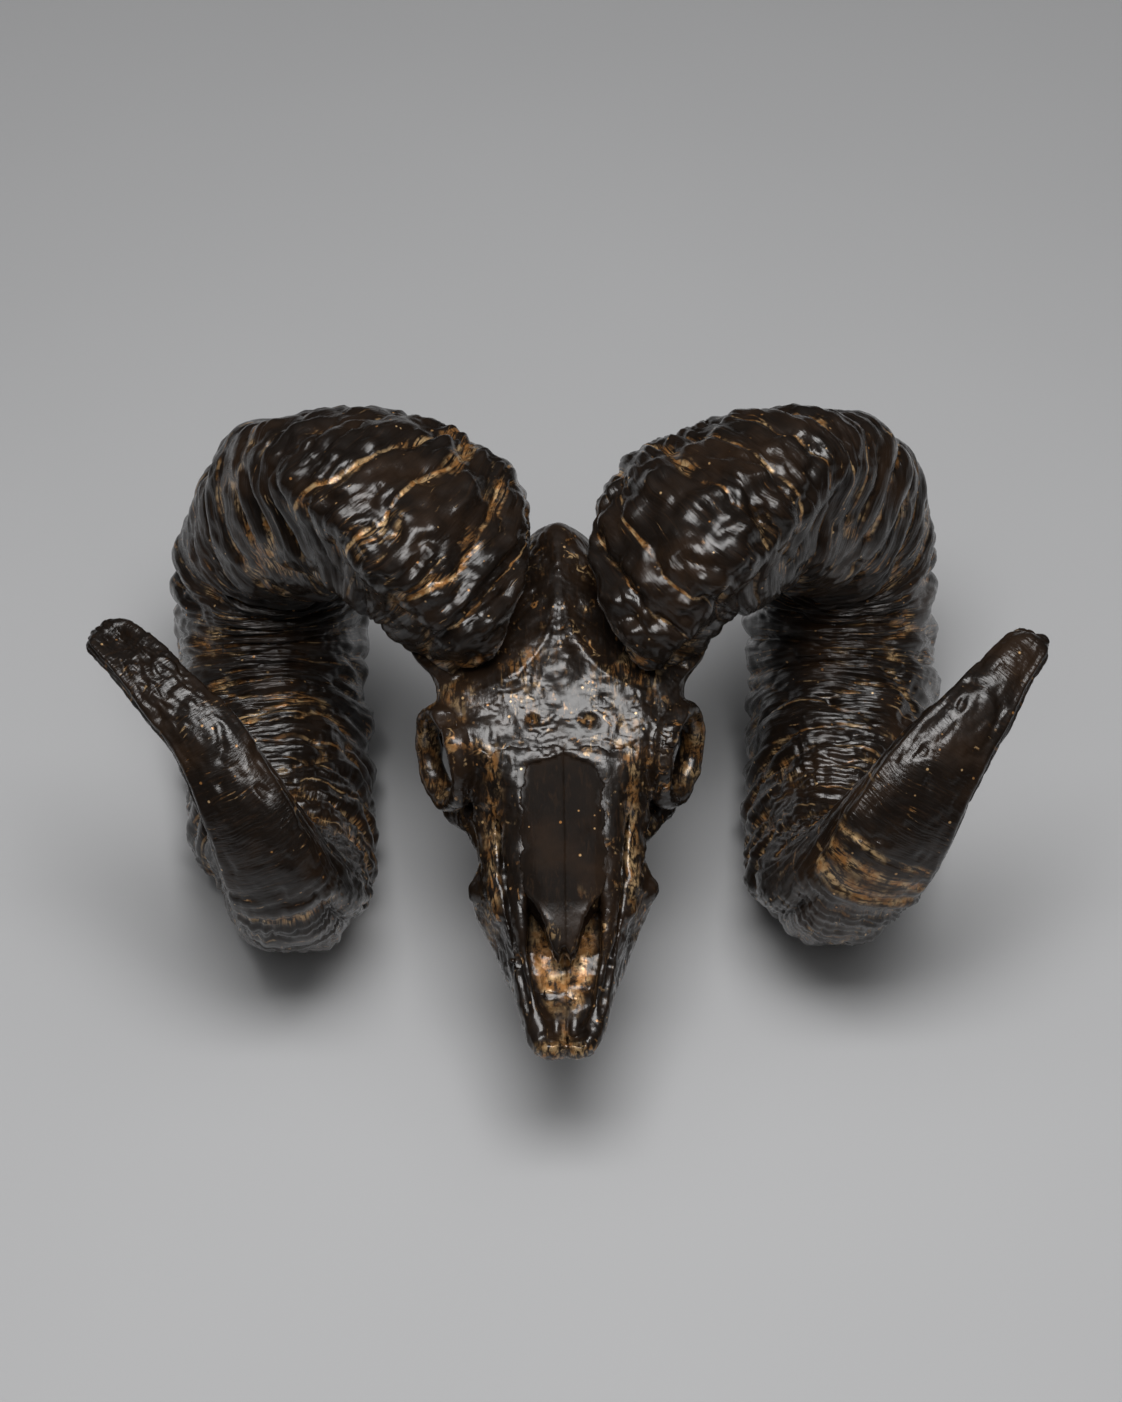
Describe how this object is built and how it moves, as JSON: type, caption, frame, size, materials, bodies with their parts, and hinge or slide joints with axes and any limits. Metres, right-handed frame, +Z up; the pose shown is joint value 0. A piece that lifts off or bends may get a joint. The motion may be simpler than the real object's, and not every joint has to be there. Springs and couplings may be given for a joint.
{
  "type": "bronze cast of a ram skull",
  "caption": "Life-size dark bronze cast of a ram's skull without its lower jaw, with full-curl horns whose tips flare outward. It rests on the undersides of the horns.",
  "frame": {"origin": "under the middle of the whole cast, on the surface that it stands on", "axes": "+Z up, the nose toward -Y, the animal's left side and left horn at +X"},
  "size_m": [0.4466, 0.3418, 0.239],
  "materials": {
    "horn_bronze": "near-black brown patina under gloss lacquer, gold rubbed into the grooves and on the ridges",
    "bone_bronze": "near-black brown patina under gloss lacquer, gold rubbed on the worn places",
    "worn_bronze": "dark patina worn through to tan gold on the floor of the nose"
  },
  "bodies": {
    "root": {"braincase": "bone_bronze", "frontal": "bone_bronze", "eye_rim_left": "bone_bronze", "eye_rim_right": "bone_bronze", "maxilla_left": "bone_bronze", "maxilla_right": "bone_bronze", "nasal_left": "bone_bronze", "nasal_right": "bone_bronze", "premaxilla_left": "worn_bronze", "premaxilla_right": "worn_bronze", "horn_left_1": "horn_bronze", "horn_left_2": "horn_bronze", "horn_left_3": "horn_bronze", "horn_left_4": "horn_bronze", "horn_left_5": "horn_bronze", "horn_left_6": "horn_bronze", "horn_right_1": "horn_bronze", "horn_right_2": "horn_bronze", "horn_right_3": "horn_bronze", "horn_right_4": "horn_bronze", "horn_right_5": "horn_bronze", "horn_right_6": "horn_bronze"}
  },
  "joints": []
}
